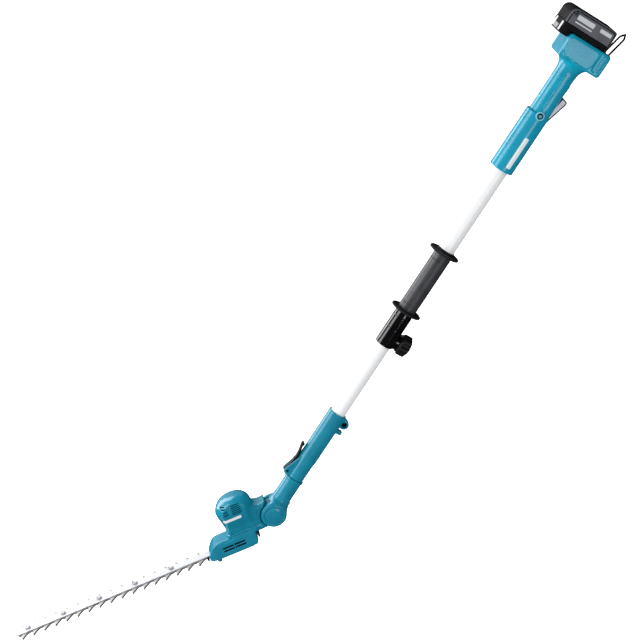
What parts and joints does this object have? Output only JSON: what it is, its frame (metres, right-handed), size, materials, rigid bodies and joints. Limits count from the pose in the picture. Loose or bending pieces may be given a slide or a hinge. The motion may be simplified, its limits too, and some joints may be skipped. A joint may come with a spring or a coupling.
{
  "type": "hedge trimmer",
  "caption": "Cordless pole hedge trimmer: double-sided reciprocating blade on a tilting motor head, telescopic pole, trigger handle and slide-on battery.",
  "frame": {"origin": "centre of the front grip, on the pole axis", "axes": "-X along the blade from the head to its tip, the cutting plane parallel to XY; +Z from the blade towards the motor; the pole rises at 36 degrees towards +X; +Y to the right when looking from the battery end towards the head"},
  "size_m": [1.747, 0.0796, 0.8753],
  "materials": {
    "pole_aluminium": "satin",
    "black_plastic": "gloss",
    "dark_plastic": "matte",
    "grip_rubber": "matte",
    "teal_housing": "gloss",
    "bright_steel": "brushed",
    "circuit_board": "satin",
    "contact_brass": "polished",
    "grey_plastic": "matte",
    "cell_wrap": "gloss",
    "black_steel": "satin",
    "cast_alloy": "cast",
    "teal_metal": "gloss",
    "blade_steel": "brushed"
  },
  "bodies": {
    "handle_unit": {"outer_pipe": "pole_aluminium", "clamp_collar": "black_plastic", "pipe_bush": "dark_plastic", "front_grip": "grip_rubber", "grip_flange_front": "grip_rubber", "grip_flange_rear": "grip_rubber", "handle_shell_left": "teal_housing", "handle_shell_right": "teal_housing", "handle_screws": "bright_steel", "trigger_pin": "bright_steel", "switch_body": "dark_plastic", "control_board": "circuit_board", "terminal_block": "dark_plastic", "terminal_contacts": "contact_brass", "hook_bracket": "dark_plastic"},
    "clamp_knob": {"clamp_knob": "black_plastic", "clamp_screw": "bright_steel"},
    "trigger": {"trigger": "black_plastic"},
    "switch_plunger": {"switch_plunger": "grey_plastic"},
    "lock_off_button": {"lock_off_button": "black_plastic"},
    "battery": {"battery_case": "dark_plastic", "battery_base": "grey_plastic", "battery_rails": "dark_plastic", "battery_cells": "cell_wrap"},
    "battery_button": {"battery_button": "black_plastic"},
    "hanging_hook": {"hanging_hook": "black_steel"},
    "extension": {"inner_pipe": "pole_aluminium", "pipe_socket": "teal_housing", "socket_bolt": "black_steel", "socket_nut": "bright_steel", "neck_fork": "teal_housing", "pivot_bolt": "bright_steel", "pivot_cap_left": "teal_housing", "pivot_cap_right": "teal_housing", "lever_pin": "bright_steel"},
    "angle_lever": {"angle_lever": "black_plastic"},
    "lock_plunger": {"lock_plunger": "bright_steel"},
    "head": {"tilt_knuckle": "cast_alloy", "head_shell_left": "teal_housing", "head_shell_right": "teal_housing", "head_screws": "bright_steel", "gear_case": "teal_metal", "case_cover": "teal_metal", "cover_bolts": "teal_metal", "nose_seal": "dark_plastic", "rear_buffer": "grip_rubber", "motor_can": "bright_steel", "upper_bearing": "bright_steel", "lower_bearing": "bright_steel", "guide_bar": "bright_steel", "bar_bolts": "bright_steel", "bar_nuts": "bright_steel"},
    "motor": {"motor_rotor": "bright_steel", "motor_pinion": "bright_steel", "motor_fan": "dark_plastic"},
    "crank": {"crank_shaft": "bright_steel", "crank_gear": "bright_steel"},
    "upper_blade": {"upper_blade": "blade_steel"},
    "lower_blade": {"lower_blade": "blade_steel"}
  },
  "joints": [
    {"name": "pole_extend", "type": "slide", "parent": "handle_unit", "child": "extension", "axis": [-0.809, 0, -0.5878], "range_m": [0, 0.5]},
    {"name": "clamp_knob_turn", "type": "hinge", "parent": "handle_unit", "child": "clamp_knob", "pos_m": [-0.09674, 0, -0.12034], "axis": [0.5878, 0, -0.809], "range_deg": [-30, 180]},
    {"name": "trigger_pull", "type": "hinge", "parent": "handle_unit", "child": "trigger", "pos_m": [0.35405, 0, 0.23745], "axis": [0, -1, 0], "range_deg": [0, 9], "stiffness_Nm_per_rad": 0.6, "springref_deg": -5.73},
    {"name": "switch_plunger_slide", "type": "slide", "parent": "handle_unit", "child": "switch_plunger", "axis": [-0.5878, 0, 0.809], "range_m": [0, 0.0067]},
    {"name": "lock_off_slide", "type": "slide", "parent": "handle_unit", "child": "lock_off_button", "axis": [0, 1, 0], "range_m": [0, 0.004], "stiffness_N_per_m": 250, "springref_m": -0.002},
    {"name": "battery_slide", "type": "slide", "parent": "handle_unit", "child": "battery", "axis": [-0.5878, 0, 0.809], "range_m": [0, 0.1]},
    {"name": "battery_button_press", "type": "slide", "parent": "battery", "child": "battery_button", "axis": [0.5878, 0, -0.809], "range_m": [0, 0.003], "stiffness_N_per_m": 300, "springref_m": -0.001},
    {"name": "hook_swing", "type": "hinge", "parent": "handle_unit", "child": "hanging_hook", "pos_m": [0.52888, 0, 0.31751], "axis": [0, 1, 0], "range_deg": [0, 95]},
    {"name": "head_tilt", "type": "hinge", "parent": "extension", "child": "head", "pos_m": [-0.50968, 0, -0.3703], "axis": [0, 1, 0], "range_deg": [-108, 12]},
    {"name": "angle_lever_lift", "type": "hinge", "parent": "extension", "child": "angle_lever", "pos_m": [-0.44222, 0, -0.28792], "axis": [0, -1, 0], "range_deg": [0, 20], "stiffness_Nm_per_rad": 0.6, "springref_deg": -6.88},
    {"name": "lock_plunger_slide", "type": "slide", "parent": "extension", "child": "lock_plunger", "axis": [0.809, 0, 0.5878], "range_m": [0, 0.008]},
    {"name": "crank_turn", "type": "hinge", "parent": "head", "child": "crank", "pos_m": [-0.61168, 0, -0.40531], "axis": [0, 0, 1], "range_deg": [-90, 90]},
    {"name": "motor_turn", "type": "hinge", "parent": "head", "child": "motor", "pos_m": [-0.58368, 0, -0.3503], "axis": [0, 0, 1], "range_deg": [-370, 370]},
    {"name": "upper_blade_slide", "type": "slide", "parent": "head", "child": "upper_blade", "axis": [1, 0, 0], "range_m": [-0.0068, 0.0068]},
    {"name": "lower_blade_slide", "type": "slide", "parent": "head", "child": "lower_blade", "axis": [1, 0, 0], "range_m": [-0.0068, 0.0068]}
  ],
  "couplings": [
    {"joint": "switch_plunger_slide", "follows": "trigger_pull", "m_per_rad": 0.042},
    {"joint": "lock_plunger_slide", "follows": "angle_lever_lift", "m_per_rad": 0.0225},
    {"joint": "motor_turn", "follows": "crank_turn", "ratio": -4.0909},
    {"joint": "upper_blade_slide", "follows": "crank_turn", "m_per_rad": -0.0042972},
    {"joint": "lower_blade_slide", "follows": "crank_turn", "m_per_rad": 0.0042972}
  ]
}
